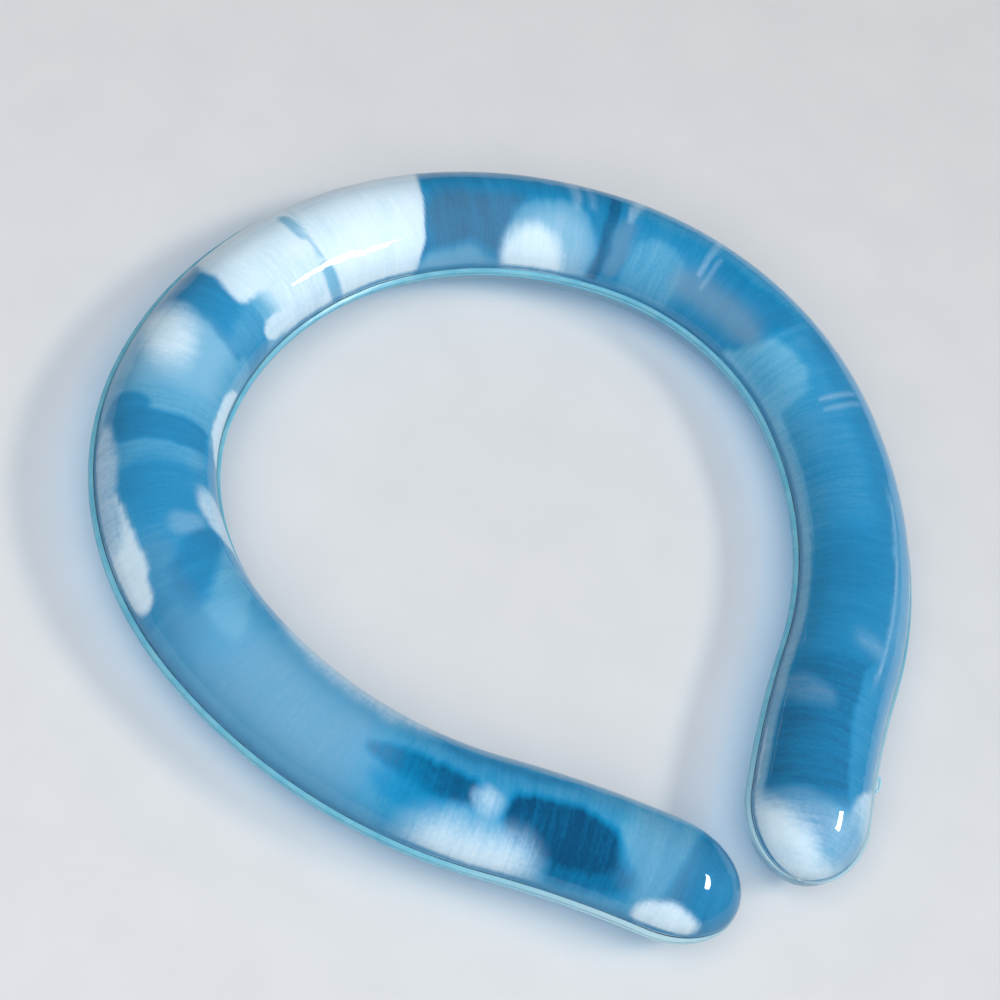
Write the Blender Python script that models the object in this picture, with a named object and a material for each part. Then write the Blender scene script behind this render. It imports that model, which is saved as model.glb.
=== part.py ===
"""Cooling neck ring: a clear tube, welded from two formed halves and filled with blue gel.

It lies on its side, as it rests on a table. Metres, +Z up. The nape is at +Y, the two ends
face each other at the front, at -Y. The origin is under the middle of the ring's box.
"""
import math

import bmesh
import bpy
import numpy as np

# Driving sizes, in metres
NECK_OPENING_WIDTH = 0.1250   # clear width between the two sides
FRONT_GAP = 0.0075            # between the two rounded ends
TUBE_WIDTH = 0.0244           # across the tube, without the weld's lip
TUBE_HEIGHT = 0.0210          # from the table to the top of the tube
END_LENGTH = 0.0160           # of each rounded end
WALL = 0.0012                 # of the formed halves
LIP_REACH = 0.0008            # how far the weld's lip stands out of the tube
LIP_THICKNESS = 0.0016        # of both halves' lips together
SEAM_GAP = 0.0003             # between the two halves
CORE_CLEARANCE = 0.0004       # between the gel and the wall

# The sealed filling neck, outside the lip a little before the right end
STUB_LENGTH = 0.0040          # along the lip
STUB_REACH = 0.0012           # outwards
STUB_HEIGHT = 0.0016
STUB_ROUNDING = 0.0004        # radius of its edges
STUB_CLEARANCE = 0.0003       # between it and the lip
STUB_BEFORE_END = 0.0110      # from its middle to where the rounded end begins

# How finely the surfaces are divided
HALF_SECTIONS = 25            # sections from the nape to a rounded end
END_STEPS = 6                 # steps over a rounded end
OUTER_SIDES = 11              # an odd number leaves a flat strip for the ring to rest on
INNER_SIDES = 9

# Half of the centreline, from the nape to the rounded end, as arcs that run into each other.
# A radius is a share of the centreline's half width. A turn is in degrees, towards the neck.
ARCS = (
    # stretch, radius, turn
    ("nape", 1.10, 42.7),
    ("shoulder", 0.794, 58.1),
    ("side", 1.22, 39.7),
    ("arm", 2.94, -8.9),
)

SEAM_LEVEL = TUBE_HEIGHT / 2
CENTRE_HALF_WIDTH = (NECK_OPENING_WIDTH + TUBE_WIDTH) / 2
LIP_HALF_WIDTH = TUBE_WIDTH / 2 + LIP_REACH


def clear_scene():
    """Removes every object that the scene holds."""
    for obj in list(bpy.data.objects):
        bpy.data.objects.remove(obj, do_unlink=True)


def new_collection(name):
    """Returns a new collection, linked to the scene."""
    collection = bpy.data.collections.new(name)
    bpy.context.scene.collection.children.link(collection)
    return collection


def principled(name, colour, roughness, transmission):
    """Returns a Principled material."""
    material = bpy.data.materials.new(name)
    material.use_nodes = True
    shader = material.node_tree.nodes["Principled BSDF"]
    shader.inputs["Base Color"].default_value = (*colour, 1.0)
    shader.inputs["Roughness"].default_value = roughness
    shader.inputs["Metallic"].default_value = 0.0
    shader.inputs["Transmission Weight"].default_value = transmission
    material.diffuse_color = (*colour, 1.0)
    return material


def arc_chain(steps=400):
    """Half of the centreline, in units of its half width, as many points from the nape on.

    The heading turns by 1 / radius along each arc, and the points are its running sum.
    """
    radii = np.array([radius for _, radius, _ in ARCS])
    turns = np.radians([turn for _, _, turn in ARCS])
    lengths = radii * abs(turns)
    joints = np.concatenate([[0.0], np.cumsum(lengths)])
    along = np.linspace(0.0, joints[-1], steps)
    heading = -np.interp(along, joints, np.concatenate([[0.0], np.cumsum(turns)]))
    middle = (heading[1:] + heading[:-1]) / 2
    step = along[1]
    x = np.concatenate([[0.0], np.cumsum(np.cos(middle)) * step])
    y = np.concatenate([[0.0], np.cumsum(np.sin(middle)) * step])
    return np.stack([x, y], axis=1) / x.max()


def end_reach(direction):
    """How far a rounded end's ellipse reaches towards the mirror plane from where it begins."""
    return math.hypot(END_LENGTH * direction[0], LIP_HALF_WIDTH * direction[1])


def half_centreline():
    """Right half of the centreline, from the nape to where the rounded end begins.

    The arcs are scaled to the neck opening. From the widest place on, the arm is then drawn
    in or out, more and more towards its end, until the two ends leave the front gap.
    """
    points = arc_chain() * CENTRE_HALF_WIDTH
    widest = int(points[:, 0].argmax())
    past = np.clip((np.arange(len(points)) - widest) / (len(points) - 1 - widest), 0.0, 1.0)
    for _ in range(8):
        direction = points[-1] - points[-2]
        direction /= np.linalg.norm(direction)
        wanted = FRONT_GAP / 2 + end_reach(direction)
        points[:, 0] += (wanted - points[-1, 0]) * past ** 2
    return points


def resample(points, count):
    """The same line as evenly spaced points."""
    steps = np.linalg.norm(np.diff(points, axis=0), axis=1)
    along = np.concatenate([[0.0], np.cumsum(steps)])
    places = np.linspace(0.0, along[-1], count)
    return np.stack([np.interp(places, along, column) for column in points.T], axis=1)


def whole_centreline():
    """The centreline from the left end to the right, and its direction, where it is full size."""
    right = resample(half_centreline(), HALF_SECTIONS)
    left = right[:0:-1] * (-1.0, 1.0)
    points = np.concatenate([left, right])
    direction = np.gradient(points, axis=0)
    direction[0] = points[1] - points[0]
    direction[-1] = points[-1] - points[-2]
    direction /= np.linalg.norm(direction, axis=1, keepdims=True)
    low = points[-1, 1] - math.hypot(END_LENGTH * direction[-1][1],
                                     LIP_HALF_WIDTH * direction[-1][0])
    high = points[:, 1].max() + LIP_HALF_WIDTH
    points[:, 1] -= (low + high) / 2
    return points, direction


def sections(end_length):
    """Centre, direction and size of each section, from one tip of the ring to the other.

    Over a rounded end the size falls from 1 to 0 as a quarter ellipse.
    """
    points, direction = whole_centreline()
    turn = np.radians(90.0) * np.arange(1, END_STEPS + 1) / END_STEPS
    beyond = end_length * np.sin(turn)[:, None]
    size = np.cos(turn)
    size[-1] = 0.0
    first = (points[0] - beyond * direction[0])[::-1]
    last = points[-1] + beyond * direction[-1]
    centre = np.concatenate([first, points, last])
    heading = np.concatenate([np.tile(direction[0], (END_STEPS, 1)), direction,
                              np.tile(direction[-1], (END_STEPS, 1))])
    sizes = np.concatenate([size[::-1], np.ones(len(points)), size])
    return centre, heading, sizes


def arch(half_width, height, sides, first_angle=0.0):
    """Half an ellipse of straight sides, as (across, up) from the outer foot to the inner one.

    The middle side lies flat at the full height.
    """
    angles = np.linspace(first_angle, math.pi - first_angle, sides + 1)
    middle_side = (math.pi - 2 * first_angle) / sides
    up = height / math.cos(middle_side / 2)
    return [(half_width * math.cos(angle), up * math.sin(angle)) for angle in angles]


def outer_profile():
    """Outside of one half: the lip's edge, the arch of the tube and the other lip's edge."""
    lip = LIP_THICKNESS / 2
    root_angle = math.asin(lip / SEAM_LEVEL)
    tube = arch(TUBE_WIDTH / 2, SEAM_LEVEL, OUTER_SIDES, root_angle)
    outer_edge = [(LIP_HALF_WIDTH, SEAM_GAP / 2), (LIP_HALF_WIDTH, lip)]
    inner_edge = [(-across, up) for across, up in reversed(outer_edge)]
    return outer_edge + tube + inner_edge


def inner_profile():
    """Inside of one half."""
    tube = arch(TUBE_WIDTH / 2 - WALL, SEAM_LEVEL - WALL, INNER_SIDES)
    return [(across, max(up, SEAM_GAP / 2)) for across, up in tube]


def core_profile():
    """The whole outline of the gel, upper half first."""
    shrink = WALL + CORE_CLEARANCE
    upper = arch(TUBE_WIDTH / 2 - shrink, SEAM_LEVEL - shrink, INNER_SIDES)
    lower = [(across, -up) for across, up in upper[-2:0:-1]]
    return upper + lower


def loft(mesh, profile, end_length, side=1.0, closed=False):
    """Carries a profile along the ring, so that it shrinks to a point at both tips.

    side is 1 for the upper half and -1 for the lower. Returns the rows of vertices, each of
    which has a single vertex at a tip.
    """
    foot = 0.0 if closed else SEAM_GAP / 2
    rows = []
    for centre, heading, size in zip(*sections(end_length)):
        outward = np.array([-heading[1], heading[0]])
        if size == 0.0:
            tip = (centre[0], centre[1], SEAM_LEVEL + side * foot)
            rows.append([mesh.verts.new(tip)])
            continue
        row = []
        for across, up in profile:
            x, y = centre + outward * across * size
            z = SEAM_LEVEL + side * (foot + (up - foot) * size)
            row.append(mesh.verts.new((x, y, z)))
        rows.append(row)
    for row, following in zip(rows, rows[1:]):
        skin_between(mesh, row, following, closed)
    return rows


def skin_between(mesh, row, following, closed):
    """Faces between two rows of vertices. A row of one vertex is a tip."""
    count = max(len(row), len(following))
    for start in range(count if closed else count - 1):
        end = (start + 1) % count
        if len(row) == 1:
            corners = (row[0], following[end], following[start])
        elif len(following) == 1:
            corners = (row[start], row[end], following[0])
        else:
            corners = (row[start], row[end], following[end], following[start])
        mesh.faces.new(corners)


def close_seam(mesh, outer_rows, inner_rows):
    """The flat face of a half at the weld, between its outer and its inner edge."""
    for foot in (0, -1):
        outer = [row[foot] for row in outer_rows]
        inner = [row[foot] for row in inner_rows]
        for index in range(len(outer) - 1):
            mesh.faces.new((outer[index], outer[index + 1], inner[index + 1], inner[index]))


def finish_mesh(name, mesh, collection, material, sharp_angle):
    """Turns the mesh's faces outwards, shades it and links it as an object."""
    bmesh.ops.recalc_face_normals(mesh, faces=mesh.faces)
    data = bpy.data.meshes.new(name)
    mesh.to_mesh(data)
    mesh.free()
    data.shade_smooth()
    data.set_sharp_from_angle(angle=math.radians(sharp_angle))
    data.materials.append(material)
    obj = bpy.data.objects.new(name, data)
    collection.objects.link(obj)
    return obj


def build_half(name, side, collection, material):
    """One formed half of the clear tube, hollow and open at the seam."""
    mesh = bmesh.new()
    outer_rows = loft(mesh, outer_profile(), END_LENGTH, side)
    inner_rows = loft(mesh, inner_profile(), END_LENGTH - WALL, side)
    close_seam(mesh, outer_rows, inner_rows)
    return finish_mesh(name, mesh, collection, material, 40.0)


def build_core(collection, material):
    """The gel, which fills the tube."""
    mesh = bmesh.new()
    loft(mesh, core_profile(), END_LENGTH - WALL - CORE_CLEARANCE, closed=True)
    return finish_mesh("cooling_core", mesh, collection, material, 40.0)


def build_filling_stub(collection, material):
    """The sealed filling neck: a small rounded block on the seam, outside the lip."""
    points, direction = whole_centreline()
    steps = np.linalg.norm(np.diff(points, axis=0), axis=1)
    along = np.concatenate([[0.0], np.cumsum(steps)])
    here = along[-1] - STUB_BEFORE_END
    place = np.array([np.interp(here, along, column) for column in points.T])
    ahead = np.array([np.interp(here, along, column) for column in direction.T])
    outward = np.array([-ahead[1], ahead[0]]) / np.linalg.norm(ahead)
    place = place + outward * (LIP_HALF_WIDTH + STUB_CLEARANCE + STUB_REACH / 2)
    mesh = bmesh.new()
    bmesh.ops.create_cube(mesh, size=1.0)
    bmesh.ops.scale(mesh, vec=(STUB_LENGTH, STUB_REACH, STUB_HEIGHT), verts=mesh.verts)
    bmesh.ops.bevel(mesh, geom=list(mesh.edges), offset=STUB_ROUNDING, segments=2,
                    profile=0.5, affect="EDGES")
    stub = finish_mesh("filling_stub", mesh, collection, material, 40.0)
    stub.location = (place[0], place[1], SEAM_LEVEL)
    stub.rotation_euler.z = math.atan2(ahead[1], ahead[0])
    return stub


def main():
    clear_scene()
    ring = new_collection("cooling_neck_ring")
    clear_tpu = principled("clear_tpu", (0.45, 0.78, 0.93), 0.10, 0.8)
    blue_gel = principled("blue_gel", (0.02, 0.27, 0.60), 0.35, 0.0)
    build_half("upper_shell", 1.0, ring, clear_tpu)
    build_half("lower_shell", -1.0, ring, clear_tpu)
    build_core(ring, blue_gel)
    build_filling_stub(ring, clear_tpu)


main()
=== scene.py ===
"""Cooling neck ring: a clear welded tube filled with blue gel, lying on a pale table.

Metres, +Z up. The nape is at +Y and the two rounded ends face each other at -Y. A place on the
ring is given by two parameters: along, the distance from the nape round the ring, positive
towards the right end, and around, the angle about the tube, 0 at its outer side, 90 on top and
180 at its inner side.
"""
import logging
import math
from dataclasses import dataclass, field
from enum import Enum

import bmesh
import bpy
import numpy as np
from bpy.types import Material, Node, NodeSocket, NodeTree, Object
from mathutils import Matrix, Vector


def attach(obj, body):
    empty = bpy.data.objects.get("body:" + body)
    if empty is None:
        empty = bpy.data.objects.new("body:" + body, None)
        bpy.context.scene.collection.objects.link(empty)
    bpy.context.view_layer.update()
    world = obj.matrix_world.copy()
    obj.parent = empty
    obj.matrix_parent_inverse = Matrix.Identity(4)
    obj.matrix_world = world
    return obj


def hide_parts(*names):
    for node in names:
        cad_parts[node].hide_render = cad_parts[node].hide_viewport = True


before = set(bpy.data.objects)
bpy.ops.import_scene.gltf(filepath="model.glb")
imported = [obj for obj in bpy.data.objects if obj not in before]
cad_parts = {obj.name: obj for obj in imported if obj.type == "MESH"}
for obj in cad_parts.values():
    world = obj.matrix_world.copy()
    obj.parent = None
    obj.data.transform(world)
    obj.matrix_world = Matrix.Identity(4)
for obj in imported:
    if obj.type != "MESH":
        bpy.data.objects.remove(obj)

LOG = logging.getLogger("cooling_neck_ring")
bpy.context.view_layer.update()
BODY = "root"
MM = 0.001
Array = np.ndarray


class Half(Enum):
    """Which formed half of the tube, by the way it bulges from the seam."""

    UPPER = 1.0
    LOWER = -1.0


def linear(hex_colour: str) -> tuple[float, float, float, float]:
    """Turns an sRGB hex colour into linear light.

    Args:
        hex_colour: Six hex digits, such as "2E95CB".

    Returns:
        Red, green, blue and an alpha of 1.
    """
    parts = [int(hex_colour[i:i + 2], 16) / 255.0 for i in (0, 2, 4)]
    light = [c / 12.92 if c <= 0.04045 else ((c + 0.055) / 1.055) ** 2.4 for c in parts]
    return (light[0], light[1], light[2], 1.0)


def add_node(tree: NodeTree, kind: str, settings: dict | None = None, **inputs: object) -> Node:
    """Adds a shader node with its settings, values and links.

    Args:
        tree: The node tree that the node goes into.
        kind: The node's type without its prefix ShaderNode, such as "TexNoise".
        settings: Attributes of the node, such as {"operation": "ADD"}.
        **inputs: For an input's name, with _ for a space, or in0, in1 for its number: a value,
            or an output socket to link.

    Returns:
        The new node.
    """
    node = tree.nodes.new("ShaderNode" + kind)
    for name, value in (settings or {}).items():
        setattr(node, name, value)
    for name, value in inputs.items():
        key = int(name[2:]) if name[:2] == "in" and name[2:].isdigit() else name.replace("_", " ")
        socket = node.inputs[key]
        if isinstance(value, NodeSocket):
            tree.links.new(value, socket)
        else:
            socket.default_value = value
    return node


def maths(tree: NodeTree, operation: str, *values: float | NodeSocket) -> NodeSocket:
    """Adds a maths node with its values, and returns its output."""
    inputs = {f"in{place}": value for place, value in enumerate(values)}
    return add_node(tree, "Math", {"operation": operation}, **inputs).outputs["Value"]


def new_material(name: str) -> tuple[Material, NodeTree, Node]:
    """Makes an empty node material.

    Args:
        name: The material's name.

    Returns:
        The material, its node tree and its output node.
    """
    material = bpy.data.materials.new(name)
    material.use_nodes = True
    material.node_tree.nodes.clear()
    output = material.node_tree.nodes.new("ShaderNodeOutputMaterial")
    return material, material.node_tree, output


def finish_surface(tree: NodeTree, output: Node, shader: NodeSocket, shade: str) -> None:
    """Links a shader to the output, and lets the lamps' light pass it unbent, in a colour.

    Args:
        tree: The material's node tree.
        output: Its output node.
        shader: What the camera sees.
        shade: sRGB hex colour of the light that has passed.
    """
    clear = add_node(tree, "BsdfTransparent", Color=linear(shade))
    path = add_node(tree, "LightPath")
    mix = add_node(tree, "MixShader", Fac=path.outputs["Is Shadow Ray"],
                   in1=shader, in2=clear.outputs["BSDF"])
    tree.links.new(mix.outputs["Shader"], output.inputs["Surface"])


def smooth(edge_low: float, edge_high: float, value: Array) -> Array:
    """Smoothstep: 3 t^2 - 2 t^3 of the share t of the way from the low edge to the high one."""
    share = np.clip((value - edge_low) / (edge_high - edge_low), 0.0, 1.0)
    return share * share * (3.0 - 2.0 * share)


def value_noise(x: Array, y: Array, seed: int) -> Array:
    """Smooth noise from -1 to 1 with cells of one unit.

    A seeded table of random values is read at the cell's four corners and blended by
    smoothstep of the place inside the cell.

    Args:
        x: First coordinate of each point, in cells.
        y: Second coordinate of each point, in cells.
        seed: Picks the table.

    Returns:
        The noise at each point.
    """
    size = 256
    table = np.random.default_rng(seed).uniform(-1.0, 1.0, (size, size))
    column = np.floor(x).astype(int)
    row = np.floor(y).astype(int)
    across = smooth(0.0, 1.0, x - column)
    down = smooth(0.0, 1.0, y - row)
    near = table[row % size, column % size]
    right = table[row % size, (column + 1) % size]
    below = table[(row + 1) % size, column % size]
    far = table[(row + 1) % size, (column + 1) % size]
    return (near * (1 - across) + right * across) * (1 - down) + \
        (below * (1 - across) + far * across) * down


@dataclass(frozen=True)
class RingPlan:
    """The ring's centreline and the size of its tube, in metres.

    Attributes:
        opening_width: Clear width between the two sides.
        front_gap: Between the two rounded ends.
        tube_width: Across the tube, without the weld's lip.
        tube_height: Through the tube, from the table to its top.
        end_length: Of each rounded end.
        lip_reach: How far the weld's lip stands out of the tube.
        arcs: Radius, as a share of the centreline's half width, and turn in degrees of each
            stretch from the nape to a rounded end.
    """

    opening_width: float = 0.1250
    front_gap: float = 0.0075
    tube_width: float = 0.0244
    tube_height: float = 0.0210
    end_length: float = 0.0160
    lip_reach: float = 0.0008
    arcs: tuple[tuple[float, float], ...] = ((1.10, 42.7), (0.794, 58.1), (1.22, 39.7),
                                             (2.94, -8.9))
    line: Array = field(init=False, repr=False)
    heading: Array = field(init=False, repr=False)
    distance: Array = field(init=False, repr=False)

    def __post_init__(self) -> None:
        """Works out the right half of the centreline once."""
        line = self.drawn_in(self.arc_chain())
        heading = np.gradient(line, axis=0)
        heading[-1] = line[-1] - line[-2]
        heading /= np.linalg.norm(heading, axis=1, keepdims=True)
        steps = np.linalg.norm(np.diff(line, axis=0), axis=1)
        lip = self.tube_width / 2 + self.lip_reach
        low = line[-1, 1] - math.hypot(self.end_length * heading[-1, 1], lip * heading[-1, 0])
        high = line[:, 1].max() + lip
        object.__setattr__(self, "line", line - (0.0, (low + high) / 2))
        object.__setattr__(self, "heading", heading)
        object.__setattr__(self, "distance", np.concatenate([[0.0], np.cumsum(steps)]))

    @property
    def seam_level(self) -> float:
        """Height of the seam above the table."""
        return self.tube_height / 2

    @property
    def full_length(self) -> float:
        """Half of the centreline's length, without the rounded end."""
        return float(self.distance[-1])

    def arc_chain(self, steps: int = 400) -> Array:
        """Half of the centreline as a chain of arcs.

        The heading turns by 1 / radius along each arc, and the points are its running sum,
        scaled until the widest point lies at the centreline's half width.

        Args:
            steps: How many points.

        Returns:
            The points, from the nape on.
        """
        radii = np.array([radius for radius, _ in self.arcs])
        turns = np.radians([turn for _, turn in self.arcs])
        joints = np.concatenate([[0.0], np.cumsum(radii * abs(turns))])
        along = np.linspace(0.0, joints[-1], steps)
        heading = -np.interp(along, joints, np.concatenate([[0.0], np.cumsum(turns)]))
        middle = (heading[1:] + heading[:-1]) / 2
        x = np.concatenate([[0.0], np.cumsum(np.cos(middle))])
        y = np.concatenate([[0.0], np.cumsum(np.sin(middle))])
        half_width = (self.opening_width + self.tube_width) / 2
        return np.stack([x, y], axis=1) / x.max() * half_width

    def drawn_in(self, line: Array, rounds: int = 8) -> Array:
        """Draws the arm in or out past its widest place, by the square of the way to its end,
        until the two ends leave the front gap.

        Args:
            line: The chain of arcs.
            rounds: How often the gap is set, as the end's heading changes a little each time.

        Returns:
            The half centreline.
        """
        widest = int(line[:, 0].argmax())
        past = np.clip((np.arange(len(line)) - widest) / (len(line) - 1 - widest), 0.0, 1.0)
        lip = self.tube_width / 2 + self.lip_reach
        for _ in range(rounds):
            direction = line[-1] - line[-2]
            direction = direction / np.linalg.norm(direction)
            reach = math.hypot(self.end_length * direction[0], lip * direction[1])
            line[:, 0] += (self.front_gap / 2 + reach - line[-1, 0]) * past ** 2
        return line

    def stations(self, count: int, end_count: int, end_length: float) -> Array:
        """Distances along the ring from one tip to the other, closer together at the ends.

        Args:
            count: How many between the rounded ends.
            end_count: How many steps over each rounded end, by the sine of equal angles.
            end_length: The rounded end's length.

        Returns:
            The distances, without the two tips themselves.
        """
        turn = np.linspace(0.0, math.pi / 2, end_count + 1)[1:-1]
        end = self.full_length + end_length * np.sin(turn)
        middle = np.linspace(-self.full_length, self.full_length, count)
        return np.concatenate([-end[::-1], middle, end])

    def carry(self, along: Array, across: Array, up: Array, end_length: float) -> Array:
        """Places points of the tube's section in the world.

        The centre runs on straight past the full length, where the section shrinks by
        sqrt(1 - t^2) with the share t of the rounded end. Across is laid along the outward
        normal of the centreline, and up is added to the seam's height.

        Args:
            along: Distance along the ring.
            across: Outward distance from the centreline, for the full section.
            up: Height above the seam, for the full section.
            end_length: The rounded end's length.

        Returns:
            Points, with x, y and z on the last axis.
        """
        inside = np.minimum(np.abs(along), self.full_length)
        side = np.where(along < 0, -1.0, 1.0)
        beyond = np.abs(along) - inside
        head_x = np.interp(inside, self.distance, self.heading[:, 0])
        head_y = np.interp(inside, self.distance, self.heading[:, 1])
        length = np.hypot(head_x, head_y)
        head_x, head_y = head_x / length, head_y / length
        x = np.interp(inside, self.distance, self.line[:, 0]) + beyond * head_x
        y = np.interp(inside, self.distance, self.line[:, 1]) + beyond * head_y
        size = np.sqrt(np.clip(1.0 - (beyond / end_length) ** 2, 0.0, 1.0))
        x = (x - head_y * across * size) * side
        y = y + head_x * across * size
        return np.stack(np.broadcast_arrays(x, y, self.seam_level + up * size), axis=-1)

    def tips(self, end_length: float) -> tuple[Array, Array]:
        """The two places along the ring where a surface closes, and their points."""
        ends = np.array([-1.0, 1.0]) * (self.full_length + end_length)
        flat = np.zeros(2)
        return ends, self.carry(ends, flat, flat, end_length)


def block_faces(rows: int, columns: int, first: int, closed: bool) -> Array:
    """Corner indices of the faces between the points of a grid.

    Args:
        rows: Rows of points.
        columns: Points in a row.
        first: Index of the first point.
        closed: Whether the last column joins the first.

    Returns:
        One row of four indices for each face.
    """
    wide = columns if closed else columns - 1
    row, column = np.meshgrid(np.arange(rows - 1), np.arange(wide), indexing="ij")
    following = (column + 1) % columns
    corners = [row * columns + column, row * columns + following,
               (row + 1) * columns + following, (row + 1) * columns + column]
    return first + np.stack(corners, axis=-1).reshape(-1, 4)


def fan_faces(tip: int, row: Array, closed: bool) -> list[tuple[int, int, int]]:
    """Triangles from a tip to each step of a row of points."""
    following = np.roll(row, -1)
    count = len(row) if closed else len(row) - 1
    return [(tip, int(row[i]), int(following[i])) for i in range(count)]


def mesh_object(name: str, points: Array, faces: list, materials: list) -> Object:
    """Makes an object at the origin from points and faces, with its faces turned outwards.

    Args:
        name: The object's name.
        points: Points, with x, y and z on the last axis.
        faces: The indices of each face's points.
        materials: The object's materials.

    Returns:
        The new object, linked to the scene.
    """
    mesh = bpy.data.meshes.new(name)
    mesh.from_pydata(points.reshape(-1, 3).tolist(), [], faces)
    work = bmesh.new()
    work.from_mesh(mesh)
    bmesh.ops.recalc_face_normals(work, faces=work.faces)
    work.to_mesh(mesh)
    work.free()
    mesh.shade_smooth()
    for material in materials:
        mesh.materials.append(material)
    obj = bpy.data.objects.new(name, mesh)
    bpy.context.scene.collection.objects.link(obj)
    return obj


@dataclass(frozen=True)
class ClearTpu:
    """Thermoplastic polyurethane film, vacuum formed: clear, glossy and faintly blue.

    Attributes:
        tint: Colour of light that has passed a wall.
        shade_tint: Colour of lamp light that passes a wall on its way to the gel.
        ior: Refraction of TPU, 1.50.
        roughness: Of the formed film's surface, which is nearly as smooth as glass.
        transmission: Share of light that isn't scattered inside it.
        ripple_mm: Width of the shallow ripples that forming leaves.
        mottled: A second colour that the tint varies to, or nothing, as on the film.
        mottle_mm: Size of that variation.
        front: The paler colour of a mottled one at the ring's two ends.
        pales: Between which places on Y it passes from that colour to the mottled one.
        crinkle_mm: Width of the finer ripples.
        crinkle: Their height as a share of the wide ones'.
        relief_mm: Height of the wide ones.
    """

    tint: str = "F2FAFD"
    shade_tint: str = "F2FAFD"
    ior: float = 1.50
    roughness: float = 0.05
    transmission: float = 1.0
    ripple_mm: float = 9.0
    mottled: str = ""
    mottle_mm: float = 4.0
    front: str = ""
    pales: tuple[float, float] = (-0.078, -0.054)
    crinkle_mm: float = 2.6
    crinkle: float = 0.12
    relief_mm: float = 0.5

    def material(self, name: str) -> Material:
        """Builds the film's material.

        Args:
            name: The material's name.

        Returns:
            The material. Light from the lamps passes it unbent, so that the gel behind is lit.
        """
        material, tree, output = new_material(name)
        place = add_node(tree, "TexCoord").outputs["Object"]
        ripple = add_node(tree, "TexNoise", Vector=place,
                          Scale=1.0 / (self.ripple_mm * MM), Detail=2.0, Roughness=0.5)
        crinkle = add_node(tree, "TexNoise", Vector=place,
                           Scale=1.0 / (self.crinkle_mm * MM), Detail=1.0, Roughness=0.5)
        height = maths(tree, "MULTIPLY_ADD", crinkle.outputs["Fac"], self.crinkle,
                       ripple.outputs["Fac"])
        bump = add_node(tree, "Bump", Strength=0.5, Distance=self.relief_mm * MM,
                        Height=height)
        film = add_node(tree, "BsdfPrincipled", Base_Color=linear(self.tint),
                        Roughness=self.roughness, IOR=self.ior,
                        Transmission_Weight=self.transmission,
                        Normal=bump.outputs["Normal"])
        if self.mottled:
            spots = add_node(tree, "TexNoise", Vector=place,
                             Scale=1.0 / (self.mottle_mm * MM), Detail=3.0, Roughness=0.6)
            tone = add_node(tree, "Mix", {"data_type": "RGBA"},
                            in0=spots.outputs["Fac"], in6=linear(self.mottled),
                            in7=linear(self.tint))
            way_back = add_node(tree, "SeparateXYZ", Vector=place).outputs["Y"]
            share = add_node(tree, "MapRange", in0=way_back, in1=self.pales[0],
                             in2=self.pales[1])
            paled = add_node(tree, "Mix", {"data_type": "RGBA"},
                             in0=share.outputs["Result"], in6=linear(self.front),
                             in7=tone.outputs[2])
            tree.links.new(paled.outputs[2], film.inputs["Base Color"])
        finish_surface(tree, output, film.outputs["BSDF"], self.shade_tint)
        return material


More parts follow.
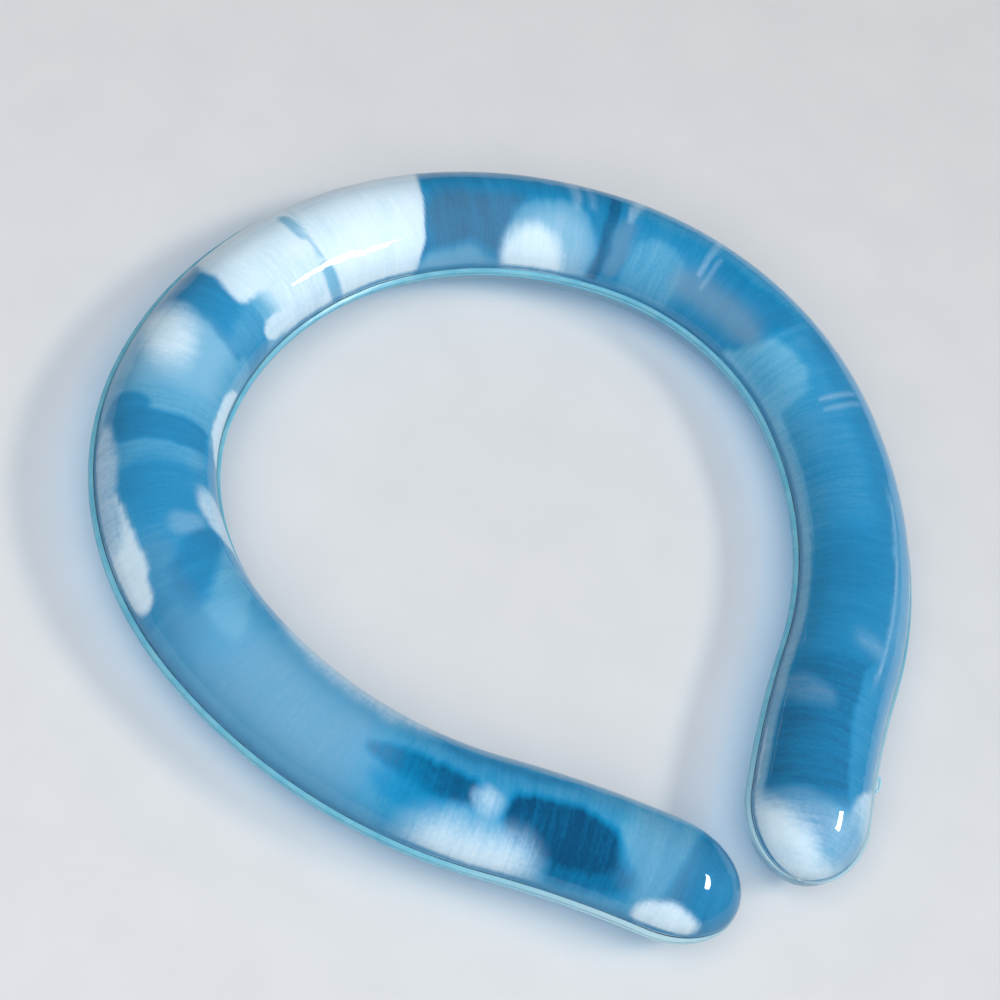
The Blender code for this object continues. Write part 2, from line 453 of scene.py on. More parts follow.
@dataclass
class ClearTube:
    """The clear tube's two formed halves, each hollow and with its half of the weld's lip.

    Attributes:
        plan: The ring's plan.
        wall: Thickness of the film.
        lip_thickness: Of both halves' lips together.
        seam_gap: Between the two halves.
        stations: Sections between the rounded ends.
        end_stations: Steps over a rounded end.
        sides: Points over the arch of a half.
        lip_points: Points of a lip's profile.
    """

    plan: RingPlan
    wall: float = 0.0012
    lip_thickness: float = 0.0016
    seam_gap: float = 0.00006
    stations: int = 420
    end_stations: int = 22
    sides: int = 36
    lip_points: int = 3

    def outer_profile(self) -> Array:
        """Outside of a half as (across, up): lip, fillet-free ellipse arch and lip."""
        reach = self.plan.tube_width / 2 + self.plan.lip_reach
        lip = self.lip_thickness / 2
        root = math.asin(lip / self.plan.seam_level)
        angle = np.linspace(root, math.pi - root, self.sides)
        arch = np.stack([self.plan.tube_width / 2 * np.cos(angle),
                         self.plan.seam_level * np.sin(angle)], axis=1)
        edge = reach - 0.25 * lip
        foot = np.array([(reach, self.seam_gap / 2), (reach, 0.7 * lip), (edge, lip)])
        return np.concatenate([foot, arch, foot[::-1] * (-1.0, 1.0)])

    def inner_profile(self) -> Array:
        """Inside of a half as (across, up): half an ellipse, one wall inside the outer one."""
        angle = np.linspace(0.0, math.pi, self.sides)
        up = np.maximum((self.plan.seam_level - self.wall) * np.sin(angle), self.seam_gap / 2)
        return np.stack([(self.plan.tube_width / 2 - self.wall) * np.cos(angle), up], axis=1)

    def sheet(self, profile: Array, end_length: float, half: Half) -> Array:
        """Carries a profile along the ring.

        Args:
            profile: Points of the section, as (across, up).
            end_length: The rounded end's length.
            half: Which way the half bulges.

        Returns:
            A grid of points, a row for each section.
        """
        along = self.plan.stations(self.stations, self.end_stations, end_length)[:, None]
        return self.plan.carry(along, profile[None, :, 0], half.value * profile[None, :, 1],
                               end_length)

    def tips(self, end_length: float, half: Half) -> Array:
        """The two points where a sheet closes."""
        _, points = self.plan.tips(end_length)
        points[:, 2] += half.value * self.seam_gap / 2
        return points

    def build(self, half: Half, film: Material, weld: Material) -> Object:
        """Builds one half: outside, inside and the flat face between them at the seam.

        Args:
            half: Which half.
            film: The film's material.
            weld: The material of the lip.

        Returns:
            The half, which stands for its shell of the frame.
        """
        inner_end = self.plan.end_length - self.wall
        outside = self.sheet(self.outer_profile(), self.plan.end_length, half)
        inside = self.sheet(self.inner_profile(), inner_end, half)
        rows, wide = outside.shape[:2]
        narrow = inside.shape[1]
        points = np.concatenate([outside.reshape(-1, 3), inside.reshape(-1, 3),
                                 self.tips(self.plan.end_length, half),
                                 self.tips(inner_end, half)])
        first_inner = rows * wide
        tips = first_inner + rows * narrow
        outer_index = np.arange(rows * wide).reshape(rows, wide)
        inner_index = first_inner + np.arange(rows * narrow).reshape(rows, narrow)
        faces = block_faces(rows, wide, 0, False).tolist()
        faces += block_faces(rows, narrow, first_inner, False).tolist()
        for end, tip in ((0, 0), (-1, 1)):
            faces += fan_faces(tips + tip, outer_index[end], False)
            faces += fan_faces(tips + 2 + tip, inner_index[end], False)
        for edge in (0, -1):
            outer = np.concatenate([[tips], outer_index[:, edge], [tips + 1]])
            inner = np.concatenate([[tips + 2], inner_index[:, edge], [tips + 3]])
            faces += np.stack([outer[:-1], outer[1:], inner[1:], inner[:-1]], axis=1).tolist()
        side = half.name.lower()
        obj = mesh_object(f"{side}_clear_half", points, faces, [film, weld])
        column = np.arange((rows - 1) * (wide - 1)) % (wide - 1)
        kinds = np.zeros(len(faces), dtype=np.int32)
        kinds[:len(column)] = (column < self.lip_points) | (column >= wide - 1 - self.lip_points)
        obj.data.polygons.foreach_set("material_index", kinds)
        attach(obj, BODY)
        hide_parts(f"{side}_shell")
        return obj


@dataclass(frozen=True)
class Patch:
    """A place in the gel where it looks different from its neighbours.

    Attributes:
        name: What it is.
        level: The look's new value, 0 to 1.
        start: Where it begins along the ring, in millimetres.
        stop: Where it ends along the ring.
        low: Where it begins around the tube, in degrees.
        high: Where it ends around the tube.
        soft: Width of its edge in millimetres.
        corner: 2 for an ellipse, more for squarer corners.
        lean: How far its high edge is shifted along the ring from its middle.
        wander: How much its edge wanders, 0 for a steady one.
    """

    name: str
    level: float
    start: float
    stop: float
    low: float
    high: float
    soft: float = 1.5
    corner: float = 3.0
    lean: float = 0.0
    wander: float = 1.0

    def weight(self, along: Array, around: Array, degree: float) -> Array:
        """Share of the patch at each point: 1 inside, 0 outside, smooth across its edge.

        With u and v the distances from its middle as shares of its half sizes, and n its
        corner, r = (|u|^n + |v|^n)^(1/n) is 1 on its edge, and (1 - r) divided by the length
        of r's gradient is about the distance inwards from there.

        Args:
            along: Distance along the ring, in millimetres.
            around: Angle about the tube, in degrees.
            degree: Length of one degree around the tube, in millimetres.

        Returns:
            The weight at each point.
        """
        half_length = (self.stop - self.start) / 2
        half_turn = (self.high - self.low) / 2
        v = (around - (self.low + self.high) / 2) / half_turn
        u = (along - (self.start + self.stop) / 2 - self.lean * v) / half_length
        u, v = np.maximum(np.abs(u), 1e-6), np.maximum(np.abs(v), 1e-6)
        r = (u ** self.corner + v ** self.corner) ** (1.0 / self.corner)
        slope = np.hypot(u ** (self.corner - 1.0) / half_length,
                         v ** (self.corner - 1.0) / (half_turn * degree))
        inwards = (1.0 - r) * r ** (self.corner - 1.0) / slope
        spread = 0.7 * self.soft
        return smooth(-spread, spread, inwards)


# The gel from the left tip to the right one. Later rows are laid over earlier ones.
DEPTH = (
    Patch("left arm", 0.36, -226, -116, -60, 240, 4.0, 8),
    Patch("left tip", 0.70, -300, -218.8, -90, 270, 1.5, 10, -11),
    Patch("left end, light", 0.22, -221, -206, 30, 200, 2.0, 6, -4),
    Patch("streaks beside the pools", 0.38, -207, -163, 92, 134, 5.0, 3),
    Patch("inner flecks", 0.64, -197, -169, 118, 132, 2.5, 3),
    Patch("first pool, outer part", 0.80, -212, -190, 18, 64, 3.0, 2.2),
    Patch("first pool", 0.97, -208, -184.5, 40, 99, 2.0, 3.6, 1.2),
    Patch("second pool", 0.92, -179, -163, 65, 100, 2.0, 3.4, 0.5),
    Patch("second pool, tail", 0.84, -172, -156, 70, 95, 1.6, 2.0),
    Patch("beside the second pool", 0.56, -173, -159, 46, 72, 3.0, 2.2),
    Patch("left side", 0.42, -121, -99, 28, 80, 3.0, 4),
    Patch("left side, light pool", 0.20, -123, -107, 72, 140, 1.8, 2.6, 5),
    Patch("leaning dark band", 0.66, -112.5, -101, 62, 138, 3.0, 3.0, 5.5),
    Patch("streaky blue", 0.42, -101, -79, 40, 160, 1.6, 6),
    Patch("below the dark band", 0.26, -85.5, -79, 36, 134, 2.4, 3),
    Patch("streaky blue, core", 0.53, -97, -84, 46, 122, 4.0, 2.4),
    Patch("light stretch", 0.18, -76, -49, -10, 200, 1.4, 8),
    Patch("dark band, outer part", 0.56, -79.5, -69, 20, 76, 1.2, 2.8),
    Patch("dark band", 0.64, -79.5, -73, 40, 138, 1.0, 6),
    Patch("blue band", 0.58, -46, -35.8, -60, 140, 0.9, 8, -6),
    Patch("blue band, fading", 0.36, -50, -33, 112, 152, 2.5, 3),
    Patch("under the crystals", 0.10, -36, 14, -60, 240, 1.2, 12, -7.5),
    Patch("behind the nape", 0.54, 13, 38.2, -60, 240, 0.7, 12, -7.5, 0.5),
    # Painted reflection: this darker band on the nape's inner side, and the grey laid over it,
    # stand for the dim room reflected in the gloss.
    Patch("behind the nape, dark", 0.80, 10, 37.5, 80, 160, 4.0, 5, -4),
    Patch("behind the nape, inner edge", 0.22, 8, 30, 144, 215, 3.0, 2.2, -2),
    Patch("nape", 0.58, 36.5, 57, -60, 240, 1.5, 12, -5),
    Patch("nape dome", 0.24, 32.3, 53.5, 86, 240, 2.0, 3.0),
    Patch("right of the line", 0.52, 57, 102, -60, 240, 1.0, 12),
    Patch("thin dark line", 0.86, 54.0, 57.2, 60, 182, 0.9, 5, -1),
    Patch("cyan dome", 0.24, 61.5, 77, 98, 184, 2.0, 2.4),
    Patch("shoulder, dark", 0.66, 80, 103, 72, 120, 2.4, 3),
    Patch("shoulder, outer", 0.40, 58, 103, 18, 74, 3.0, 4),
    Patch("right side", 0.44, 102, 162, -60, 240, 1.6, 12, -4),
    Patch("right side, blue", 0.57, 105, 164, 54, 82, 3.0, 4),
    Patch("bright dome, fading", 0.34, 108, 134, 108, 230, 6.0, 2.6),
    Patch("bright dome", 0.12, 98, 119, 100, 230, 2.0, 2.4, -2.5),
    Patch("right arm", 0.62, 152, 196, -60, 240, 9.0, 8),
    Patch("right arm, deep", 0.82, 187, 221, -60, 240, 6.0, 12),
    Patch("right arm, inner side", 0.44, 126, 201, 138, 225, 10.0, 4),
    # Painted light: a shallower, lighter strip low on the right arm's inner side, laid against a
    # grey band of shade there.
    Patch("right arm, inner margin", 0.10, 96, 222, 154, 215, 1.6, 12, 0, 0.3),
    Patch("outer margin", 0.40, 140, 192, -50, 57, 1.4, 7),
    Patch("outer margin, end", 0.40, 186, 224, -50, 36, 1.4, 7),
    Patch("outer lens", 0.48, 178, 224, 30, 71, 1.0, 2.2),
    Patch("right tip", 0.42, 220.5, 254, -90, 270, 1.2, 12),
    Patch("right tip, greyish", 0.66, 219, 229, 76, 150, 2.0, 2.4, -2),
    # Painted light: the gel's underside on both sides is made shallow and pale, standing in for
    # light that comes up to it from the table.
    Patch("outer underside", 0.02, -260, 260, -110, -2, 1.0, 30, 0, 0.1),
    Patch("inner underside", 0.02, -260, 260, 182, 290, 1.0, 30, 0, 0.1),
    # Painted shade: a thin dark line on each side just above the lip, where shade falls at the
    # root of the weld.
    Patch("outer seam, deep line", 0.55, -240, 240, 1, 8, 0.5, 30, 0, 0.1),
    Patch("inner seam, deep line", 0.6, -240, 240, 172, 179, 0.5, 30, 0, 0.1),
)
FROST = (
    Patch("left lens", 0.92, -226.5, -214, -6, 42, 1.6, 2.2, 0, 0.4),
    Patch("left arm crystals", 0.86, -191, -170, -6, 52, 8.0, 2.2),
    Patch("round bubble", 0.36, -183.8, -177.6, 67, 94, 1.6, 2.0),
    Patch("round bubble, core", 0.55, -181.8, -179.6, 76, 87, 1.2, 2.0),
    Patch("left arm veil", 0.10, -160, -118, 20, 110, 8.0, 4),
    Patch("inner veil", 0.42, -167, -128, 122, 180, 4.0, 3),
    Patch("outer crescent", 0.92, -111.5, -88, 0, 46, 1.2, 2.6),
    Patch("outer crescent, faint", 0.50, -100, -75, 4, 40, 2.0, 2.4),
    Patch("lavender oval", 0.16, -101.2, -96.6, 84, 122, 2.2, 2.2),
    Patch("inner crescent", 0.64, -104, -91, 124, 172, 1.8, 2.2, -4),
    Patch("second inner crescent", 0.88, -81, -56, 145, 205, 1.0, 2.0),
    Patch("pale stretch", 0.14, -66, -49, 16, 134, 4.0, 4),
    Patch("pale wedge", 0.88, -60.5, -49, 28, 94, 5.0, 2.2, -3),
    Patch("left crystals", 0.97, -36, -12, -40, 112, 1.4, 10, -4.6),
    Patch("left crystals, inner side", 0.80, -34, -14, 102, 178, 3.5, 4),
    Patch("crystal lens", 0.92, -39.5, -29.5, 139, 164, 0.7, 2.4),
    Patch("right crystals", 0.96, -15.2, 13.2, -60, 240, 0.6, 12, -7.5, 0.5),
    Patch("crack", 0.20, -17.5, -15.0, 46, 90, 0.6, 2.4, -0.5, 0.3),
    Patch("crack, thin part", 0.35, -16.4, -15.6, 74, 120, 0.4, 6, 0.3, 0.3),
    Patch("crack, inner side", 0.08, -16.9, -13.4, 122, 180, 0.8, 3, 1.2, 0.4),
    Patch("mottled edge", 0.10, 10, 27, 150, 176, 3.0, 2.2),
    Patch("nape crystals, fading", 0.28, 34, 53, 100, 215, 5.0, 2.4),
    Patch("nape crystals", 0.98, 31.8, 47, 116, 230, 3.0, 2.4, 1),
    Patch("nape streak", 0.20, 46.0, 48.2, -4, 96, 1.2, 3, 1),
    Patch("second nape streak", 0.16, 49.5, 51.3, -4, 86, 1.2, 3, 1),
    Patch("curved streak", 0.34, 60.7, 62.7, -4, 88, 1.0, 3, -1.5),
    Patch("thin pale line", 0.20, 78.3, 79.7, 14, 114, 0.7, 5, 0.3, 0.3),
    Patch("second thin line", 0.16, 80.9, 82.0, 78, 126, 0.6, 4, 0, 0.3),
    Patch("pale line", 0.17, 120.1, 121.4, 56, 106, 0.7, 3, 0.2, 0.15),
    Patch("second pale line", 0.17, 122.8, 124.0, 54, 106, 0.7, 3, 0.4, 0.15),
    Patch("outer frost", 0.06, 101, 142.5, -40, 55, 1.2, 3.0),
    Patch("outer veil", 0.06, 138, 190, -40, 56, 3.0, 6),
    Patch("lens edge", 0.28, 146, 188, 55.5, 59.0, 0.5, 8, 0, 0.2),
    Patch("end veil", 0.06, 186, 222, -40, 35, 2.0, 6),
    Patch("margin streak", 0.12, 179.4, 183.4, 56, 96, 3.0, 2.2, -1),
    Patch("arm streak", 0.10, 193.8, 199.4, 96, 168, 2.2, 2.2, -2),
    Patch("inner lens", 0.64, 200, 224, 166, 215, 1.0, 2.6),
    Patch("right outer wedge", 0.60, 211.5, 228, -40, 57, 1.4, 2.4, 2, 0.5),
    Patch("right tip veil", 0.24, 221, 300, -90, 270, 5.0, 10),
    Patch("right tip crystals", 1.00, 220, 300, 60, 270, 5.0, 10, -12),
    Patch("right tip cap", 0.80, 230.5, 300, -90, 270, 3.0, 10),
    # Painted light: a pale layer over the gel's underside on both sides, for the same light from
    # below.
    Patch("outer underside, painted lighter", 0.22, -260, 260, -110, -2, 1.0, 30, 0, 0.1),
    Patch("inner underside, milky", 0.22, -260, 260, 182, 290, 1.0, 30, 0, 0.1),
    # No frost under those painted shade lines, so that they stay dark.
    Patch("outer seam, kept clear under painted shade", 0.05, -240, 240, 1, 8, 0.5, 30, 0, 0.1),
    Patch("inner seam, no crystals", 0.05, -240, 240, 172, 179, 0.5, 30, 0, 0.1),
)
# Grey laid over the gel by place: partly its own greyness, partly painted reflection of the dim
# room in its gloss, most on the nape's inner side.
HAZE_AND_SHEEN = (
    Patch("nape, clear", 0.00, 8, 104, -60, 90, 6.0, 6),
    Patch("pools, clear", 0.00, -214, -154, 20, 112, 4.0, 4),
    Patch("bright dome, clear", 0.00, 96, 124, 92, 230, 4.0, 3),
    Patch("right arm, clear", 0.06, 150, 222, 58, 230, 8.0, 6),
    Patch("shoulder haze", 0.52, 74, 101, 110, 146, 4.5, 3),
    Patch("line haze", 0.42, 56.8, 61.8, 88, 162, 2.2, 2.4, -1),
    # Painted reflection: grey of the dim room reflected in the gloss of the nape's inner side.
    Patch("nape haze", 0.25, 12, 38, 78, 164, 5.0, 3),
    Patch("left arm haze", 0.26, -156, -128, 24, 110, 8.0, 4),
    Patch("left end haze", 0.26, -222, -209, 30, 120, 4.0, 4),
    Patch("left side haze", 0.22, -120, -100, 30, 76, 4.0, 4),
    Patch("right tip haze", 0.20, 219, 229, 70, 150, 2.0, 2.4),
)
# Each look's level where no patch lies, and its patches.
LOOKS = {"frost": (0.0, FROST), "depth": (0.45, DEPTH), "haze_and_sheen": (0.08, HAZE_AND_SHEEN)}

# Noise over the gel's face: its height, the size of its cells along the ring in millimetres and
# around the tube in degrees, and its seed. The first two move the patches' edges.
ALONG_WANDER = ((0.7, 6.0, 22.0, 3), (0.15, 2.0, 7.0, 4))
AROUND_WANDER = ((1.8, 1.1, 90.0, 5), (4.5, 4.5, 60.0, 6))
FROST_CLOUDS = ((0.07, 5.0, 30.0, 8),)
DEPTH_CLOUDS = ((0.06, 11.0, 50.0, 7),)


def clouded(start: Array | float, kinds: tuple, line: Array, around: Array) -> Array:
    """A start value with kinds of noise over the gel's face added to it."""
    for height, length, turn, seed in kinds:
        start = start + height * value_noise(line / length, around / turn, seed)
    return start


@dataclass(frozen=True)
class PhaseChangeGel:
    """Blue phase-change gel, partly set: clear blue where liquid, white and fibrous where set.

    Attributes:
        tones: Share of depth and colour, from shallow, milky gel to deep, clear gel.
        frost: Colour of the set crystals.
        haze_and_sheen: Grey laid over the gel's colour: partly its own greyness, partly painted
            reflection of the dim room in its gloss.
        ior: Refraction of the paraffin gel, 1.44.
        roughness: Of its surface where it meets the film.
        specular: Of that surface. The film wets it and bends light nearly as much, so it
            hardly reflects.
        whitening: How far crystals in front hide the gel's depth.
        fibre_mm: Spacing of the fibres, which run round the tube. The real ones are finer.
        streak_kinds: Fibres, coarse streaks and grain: the width as a share of their spacing,
            how many times longer each is round the tube, and how much it moves the depth.
        relief_mm: Height of the coarse streaks on its face.
        thin: Share of light that it passes on, scattered, and doesn't send back.
        glow: Colour of the lamp light that gets through it.
    """

    tones: tuple[tuple[float, str], ...] = ((0.0, "84C2DC"), (0.25, "52A8CE"), (0.5, "1E95C4"),
                                            (0.75, "0081B0"), (1.0, "00507A"))
    frost: str = "EEF5FB"
    haze_and_sheen: str = "8FA0AE"
    ior: float = 1.44
    roughness: float = 0.38
    specular: float = 0.05
    whitening: float = 0.8
    fibre_mm: float = 0.8
    streak_kinds: tuple[tuple[float, float, float], ...] = ((1.0, 14.0, 0.17), (3.2, 7.0, 0.24),
                                                            (0.9, 1.6, 0.15))
    relief_mm: float = 0.15
    thin: float = 0.12
    glow: str = "58A8C0"

    def material(self, name: str) -> Material:
        """Builds the gel's material from the looks that its mesh holds at each point.

        Args:
            name: The material's name.

        Returns:
            The material. It reads the mesh's frost, depth and greyness, which is partly painted
            reflection, and its own UV map, whose first coordinate runs along the ring and second
            around the tube, in metres.
        """
        material, tree, output = new_material(name)
        looks = {what: add_node(tree, "Attribute", {"attribute_name": what})
                 for what in ("frost", "depth", "haze_and_sheen")}
        place = add_node(tree, "UVMap", {"uv_map": "round_the_ring"}).outputs["UV"]
        streaks = [self.streaks(tree, place, width * self.fibre_mm, stretch)
                   for width, stretch, _ in self.streak_kinds]
        frost, depth = looks["frost"].outputs["Fac"], looks["depth"].outputs["Fac"]
        rough_edge = self.edges(tree, frost)
        for streak, (_, _, amount) in zip(streaks, self.streak_kinds):
            frost = self.feathered(tree, frost, streak, rough_edge)
            depth = self.feathered(tree, depth, streak, amount)
        hidden = maths(tree, "MULTIPLY", frost, -self.whitening)
        depth = self.feathered(tree, depth, hidden, depth)
        ramp = add_node(tree, "ValToRGB", Fac=depth)
        elements = ramp.color_ramp.elements
        while len(elements) < len(self.tones):
            elements.new(0.5)
        for element, (share, colour) in zip(elements, self.tones):
            element.position = share
            element.color = linear(colour)
        # Grey laid over the gel's colour, partly painted reflection of the dim room in its gloss.
        greyed_colour = self.blended(tree, looks["haze_and_sheen"].outputs["Fac"], ramp.outputs["Color"], self.haze_and_sheen)
        body = self.blended(tree, frost, greyed_colour, self.frost)
        bump = add_node(tree, "Bump", Strength=0.25, Distance=self.relief_mm * MM,
                        Height=streaks[1])
        gel = add_node(tree, "BsdfPrincipled", Base_Color=body, IOR=self.ior,
                       Roughness=self.roughness, Normal=bump.outputs["Normal"],
                       Specular_IOR_Level=self.specular)
        scattered = add_node(tree, "BsdfTranslucent", Color=body)
        whole = add_node(tree, "MixShader", Fac=self.thin, in1=gel.outputs["BSDF"],
                         in2=scattered.outputs["BSDF"])
        finish_surface(tree, output, whole.outputs["Shader"], self.glow)
        return material

    @staticmethod
    def streaks(tree: NodeTree, place: NodeSocket, width_mm: float, stretch: float) -> NodeSocket:
        """Noise drawn out round the tube, about 0 at its middle.

        Args:
            tree: The material's node tree.
            place: UV output.
            width_mm: Width of a streak along the ring.
            stretch: How many times longer it is round the tube.

        Returns:
            The noise's output.
        """
        fine = 1.0 / (width_mm * MM)
        laid = add_node(tree, "Mapping", Vector=place,
                        Scale=(fine, fine / stretch, 1.0))
        noise = add_node(tree, "TexNoise", {"noise_dimensions": "2D"},
                         Vector=laid.outputs["Vector"], Scale=1.0, Detail=3.0, Roughness=0.55,
                         Distortion=0.25)
        return maths(tree, "SUBTRACT", noise.outputs["Fac"], 0.5)

    @staticmethod
    def edges(tree: NodeTree, look: NodeSocket) -> NodeSocket:
        """How ragged a look is, 1.2 x (1.06 - x) of its value x: most where it is half there."""
        rest = maths(tree, "SUBTRACT", 1.06, look)
        return maths(tree, "MULTIPLY", rest, maths(tree, "MULTIPLY", look, 1.2))

    @staticmethod
    def feathered(tree: NodeTree, look: NodeSocket, streak: NodeSocket,
                  amount: float | NodeSocket) -> NodeSocket:
        """The look plus the streaks times an amount, held between 0 and 1."""
        added = add_node(tree, "Math", {"operation": "MULTIPLY_ADD", "use_clamp": True},
                         in0=streak, in1=amount, in2=look)
        return added.outputs["Value"]

    @staticmethod
    def blended(tree: NodeTree, share: NodeSocket, under: NodeSocket, over: str) -> NodeSocket:
        """A colour laid over another by a share."""
        mix = add_node(tree, "Mix", {"data_type": "RGBA"}, in0=share, in6=under,
                       in7=linear(over))
        return mix.outputs[2]


@dataclass
class GelCore:
    """The gel inside the tube.

    Attributes:
        plan: The ring's plan.
        gap: Between the gel's face and the outside of the tube. It is less than the wall, so
            that no air shows between the gel and the film that it wets.
        stations: Sections between the rounded ends.
        end_stations: Steps over a rounded end.
        sides: Points round a section.
    """

    plan: RingPlan
    gap: float = 0.00105
    stations: int = 860
    end_stations: int = 30
    sides: int = 96

    def looks(self, along: Array, around: Array) -> dict[str, Array]:
        """Frost, depth and greyness at each point, from the table of patches, some of which paint
        light, shade and reflection into the gel.

        The patches' edges wander with noise: slowly along the ring, and in fibres around it.

        Args:
            along: Distance along the ring, in metres.
            around: Angle about the tube, in degrees.

        Returns:
            Each look by its name.
        """
        line = along / MM
        degree = math.radians(1.0) * self.plan.tube_width / 2 / MM
        here = clouded(line, ALONG_WANDER, line, around)
        turned = clouded(around, AROUND_WANDER, line, around)
        looks = {}
        for what, (level, patches) in LOOKS.items():
            look = np.full_like(line, level)
            for patch in patches:
                weight = patch.weight(line + patch.wander * (here - line),
                                      around + patch.wander * (turned - around), degree)
                look += (patch.level - look) * weight
            looks[what] = look
        looks["frost"] *= clouded(0.93, FROST_CLOUDS, line, around)
        looks["depth"] = clouded(looks["depth"], DEPTH_CLOUDS, line, around)
        return looks

    def build(self, material: Material) -> Object:
        """Builds the gel: an ellipse carried along the ring.

        Args:
            material: The gel's material.

        Returns:
            The gel, which stands for the frame's core.
        """
        end = self.plan.end_length - self.gap
        along = self.plan.stations(self.stations, self.end_stations, end)[:, None]
        around = (np.arange(self.sides) * 360.0 / self.sides - 90.0)[None, :]
        along, around = np.broadcast_arrays(along, around)
        angle = np.radians(around)
        across = (self.plan.tube_width / 2 - self.gap) * np.cos(angle)
        up = (self.plan.seam_level - self.gap) * np.sin(angle)
        grid = self.plan.carry(along, across, up, end)
        rows, columns = grid.shape[:2]
        ends, tips = self.plan.tips(end)
        faces = block_faces(rows, columns, 0, True).tolist()
        index = np.arange(rows * columns).reshape(rows, columns)
        faces += fan_faces(rows * columns, index[0], True)
        faces += fan_faces(rows * columns + 1, index[-1], True)
        points = np.concatenate([grid.reshape(-1, 3), tips])
        obj = mesh_object("gel_core", points, faces, [material])
        self.dress(obj, np.append(along.ravel(), ends), np.append(around.ravel(), (90.0, 90.0)))
        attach(obj, BODY)
        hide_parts("cooling_core")
        return obj

    def dress(self, obj: Object, along: Array, around: Array) -> None:
        """Writes the looks and the UV map into the mesh.

        Args:
            obj: The gel.
            along: Distance along the ring of each point.
            around: Angle about the tube of each point.
        """
        mesh = obj.data
        for what, values in self.looks(along, around).items():
            layer = mesh.attributes.new(what, "FLOAT", "POINT")
            layer.data.foreach_set("value", values.astype(np.float32))
        corners = np.empty(len(mesh.loops), dtype=np.int32)
        mesh.loops.foreach_get("vertex_index", corners)
        starts = np.empty(len(mesh.polygons), dtype=np.int32)
        mesh.polygons.foreach_get("loop_start", starts)
        turned = around[corners]
        face = np.repeat(np.arange(len(starts)), np.diff(np.append(starts, len(corners))))
        highest = np.maximum.reduceat(turned, starts)[face]
        turned = np.where(highest - turned > 180.0, turned + 360.0, turned)
        around_length = np.radians(turned) * self.plan.tube_width / 2
        uv = np.stack([along[corners], around_length], axis=1).astype(np.float32)
        layer = mesh.uv_layers.new(name="round_the_ring")
        layer.data.foreach_set("uv", uv.ravel())


@dataclass
class FillingStub:
    """The sealed filling neck: a small clear loop outside the lip, near the right end.

    Attributes:
        plan: The ring's plan.
        before_end: From its middle to where the rounded end begins.
        length: Along the lip.
        reach: Outwards.
        clearance: Between it and the lip, or below zero where it sinks into the lip.
        thickness: Of its rim, across.
        height: Of its rim.
    """

    plan: RingPlan
    before_end: float = 0.0110
    length: float = 0.0040
    reach: float = 0.0012
    clearance: float = -0.0002
    thickness: float = 0.0004
    height: float = 0.0010

    def build(self, material: Material) -> Object:
        """Builds the loop: a small ellipse carried round a longer one in the seam's plane.

        Args:
            material: The weld's material.

        Returns:
            The loop, which stands for the frame's stub.
        """
        turn = np.linspace(0.0, 2.0 * math.pi, 49)[:-1, None]
        rim = np.linspace(0.0, 2.0 * math.pi, 17)[None, :-1]
        out = self.thickness / 2 * np.cos(rim)
        middle = self.plan.tube_width / 2 + self.plan.lip_reach + self.clearance + self.reach / 2
        along = self.plan.full_length - self.before_end + \
            ((self.length - self.thickness) / 2 + out) * np.cos(turn)
        across = middle + ((self.reach - self.thickness) / 2 + out) * np.sin(turn)
        up = self.height / 2 * np.sin(rim) + 0.0 * turn
        grid = self.plan.carry(along, across, up, self.plan.end_length)
        rows, columns = grid.shape[:2]
        faces = (block_faces(rows + 1, columns, 0, True) % (rows * columns)).tolist()
        obj = mesh_object("filling_loop", grid, faces, [material])
        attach(obj, BODY)
        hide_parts("filling_stub")
        return obj


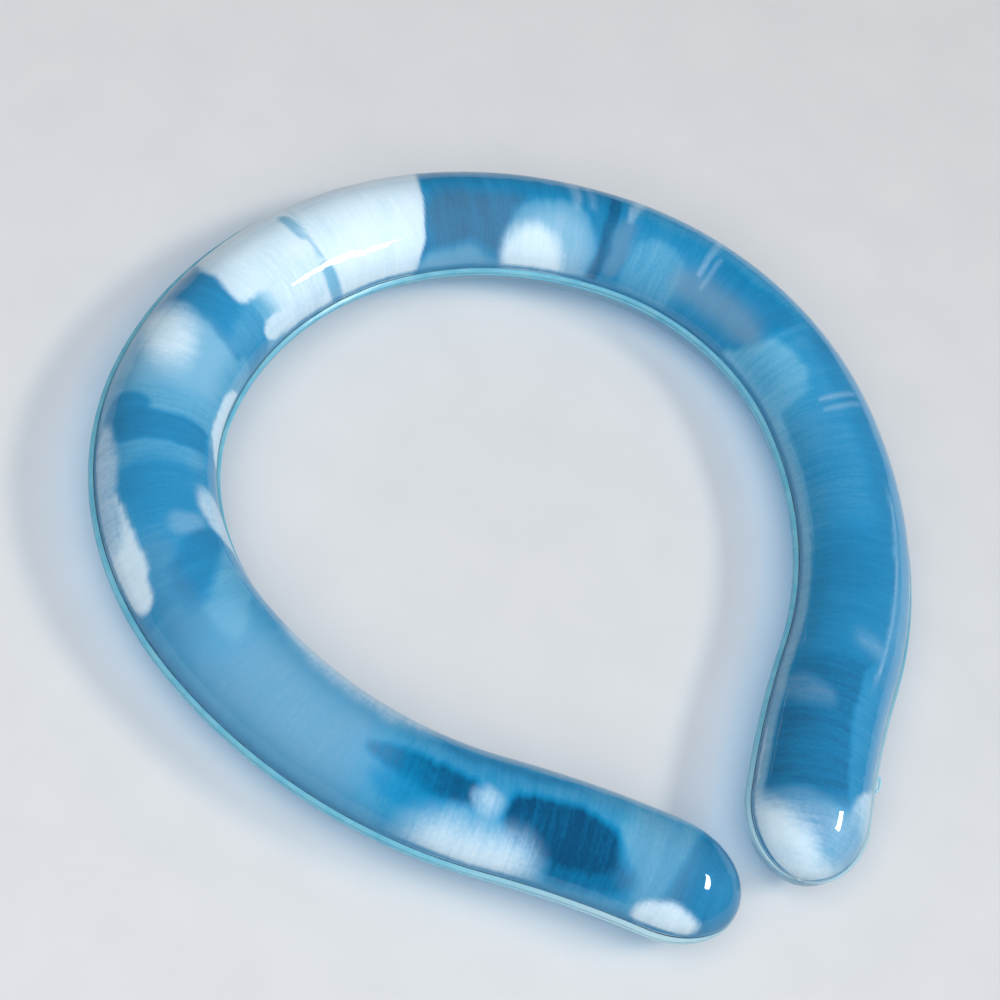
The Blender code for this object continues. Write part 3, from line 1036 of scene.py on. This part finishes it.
@dataclass
class Studio:
    """A pale table, soft lamps and the camera.

    Attributes:
        table_size: Side of the table's top.
        aim: Where the camera looks.
        distance: From the camera to its aim.
        azimuth: Of the camera's view, in degrees from +Y towards +X.
        elevation: Of the camera above the horizon.
        roll: How far the camera leans about its view.
        lens: Focal length in millimetres, for a 36 mm sensor.
        room_light: Strength of the room's even light.
    """

    table_size: float = 4.0
    aim: tuple[float, float, float] = (-0.0040, 0.0094, 0.0105)
    distance: float = 0.5697
    azimuth: float = 53.37
    elevation: float = 53.11
    roll: float = -27.22
    lens: float = 101.0
    room_light: float = 0.16

    def camera(self) -> Object:
        """Sets up the camera.

        Returns:
            The camera, now the scene's own.
        """
        azimuth, elevation = math.radians(self.azimuth), math.radians(self.elevation)
        view = Vector((math.sin(azimuth) * math.cos(elevation),
                       math.cos(azimuth) * math.cos(elevation), -math.sin(elevation)))
        right = view.cross(Vector((0.0, 0.0, 1.0))).normalized()
        above = right.cross(view)
        turn = Matrix.Rotation(math.radians(self.roll), 3, view)
        right, above = turn @ right, turn @ above
        axes = Matrix((right, above, -view)).transposed().to_4x4()
        data = bpy.data.cameras.new("camera")
        data.lens = self.lens
        data.sensor_width = 36.0
        data.clip_start = 0.01
        camera = bpy.data.objects.new("camera", data)
        camera.matrix_world = Matrix.Translation(Vector(self.aim) - view * self.distance) @ axes
        bpy.context.scene.collection.objects.link(camera)
        bpy.context.scene.camera = camera
        return camera

    def lamp(self, name: str, azimuth: float, elevation: float, distance: float,
             size: tuple[float, float], power: float) -> Object:
        """Adds a soft, white rectangular lamp that faces the ring.

        Args:
            name: The lamp's name.
            azimuth: Its direction from the ring, in degrees from +X towards +Y.
            elevation: Its height above the horizon in degrees.
            distance: From the ring.
            size: Its width and height.
            power: In watts.

        Returns:
            The lamp.
        """
        data = bpy.data.lights.new(name, "AREA")
        data.shape = "RECTANGLE"
        data.size, data.size_y = size
        data.energy = power
        turn, rise = math.radians(azimuth), math.radians(elevation)
        away = Vector((math.cos(turn) * math.cos(rise), math.sin(turn) * math.cos(rise),
                       math.sin(rise)))
        lamp = bpy.data.objects.new(name, data)
        lamp.location = away * distance
        lamp.rotation_euler = away.to_track_quat("Z", "Y").to_euler()
        bpy.context.scene.collection.objects.link(lamp)
        return lamp

    def table(self) -> Object:
        """Builds the table's top, a flat pale sheet of matt board.

        Returns:
            The table, which isn't part of the object.
        """
        material, tree, output = new_material("matt_board")
        place = add_node(tree, "TexCoord").outputs["Object"]
        grain = add_node(tree, "TexNoise", Vector=place, Scale=60.0, Detail=3.0)
        tone = add_node(tree, "Mix", {"data_type": "RGBA"},
                        in0=grain.outputs["Fac"], in6=linear("CFD2D5"), in7=linear("D8DADD"))
        board = add_node(tree, "BsdfPrincipled", Base_Color=tone.outputs[2],
                         Roughness=0.8)
        tree.links.new(board.outputs["BSDF"], output.inputs["Surface"])
        side = self.table_size / 2
        points = np.array([(-side, -side, 0.0), (side, -side, 0.0), (side, side, 0.0),
                           (-side, side, 0.0)])
        table = mesh_object("table", points, [(0, 1, 2, 3)], [material])
        if table.data.polygons[0].normal.z < 0:
            table.data.flip_normals()
        return table

    def world(self) -> None:
        """Lights the room evenly and dimly."""
        world = bpy.data.worlds.new("room")
        world.use_nodes = True
        background = world.node_tree.nodes["Background"]
        background.inputs["Color"].default_value = linear("F2F4F6")
        background.inputs["Strength"].default_value = self.room_light
        bpy.context.scene.world = world

    def build(self) -> None:
        """Builds the table, the lamps and the camera."""
        bpy.context.scene.view_settings.view_transform = "Standard"
        self.camera()
        self.table()
        self.world()
        fill = self.lamp("overhead_softbox", azimuth=-146.0, elevation=58.0, distance=1.3,
                         size=(1.5, 1.5), power=19.0)
        fill.visible_glossy = False
        fill.visible_transmission = False
        self.lamp("strip_lamp", azimuth=-37.0, elevation=43.0, distance=3.0,
                  size=(1.0, 0.36), power=35.0)


def main() -> None:
    """Builds the ring and its surroundings, and reports each piece."""
    logging.basicConfig(level=logging.INFO, format="%(message)s")
    plan = RingPlan()
    Studio().build()
    film = ClearTpu().material("clear_formed_tpu")
    # The lip's cyan tints are painted glow: the blue gel's light piped along the clear weld.
    weld = ClearTpu(tint="B0F0FA", shade_tint="A8E2F4", roughness=0.22, transmission=0.45,
                    mottled="48BCDE", front="CFF1F8").material("welded_tpu")
    tube = ClearTube(plan)
    pieces = [tube.build(half, film, weld) for half in Half]
    pieces.append(GelCore(plan).build(PhaseChangeGel().material("part_set_gel")))
    pieces.append(FillingStub(plan).build(weld))
    for piece in pieces:
        LOG.info("%s: %d faces", piece.name, len(piece.data.polygons))


if __name__ == "__main__":
    main()
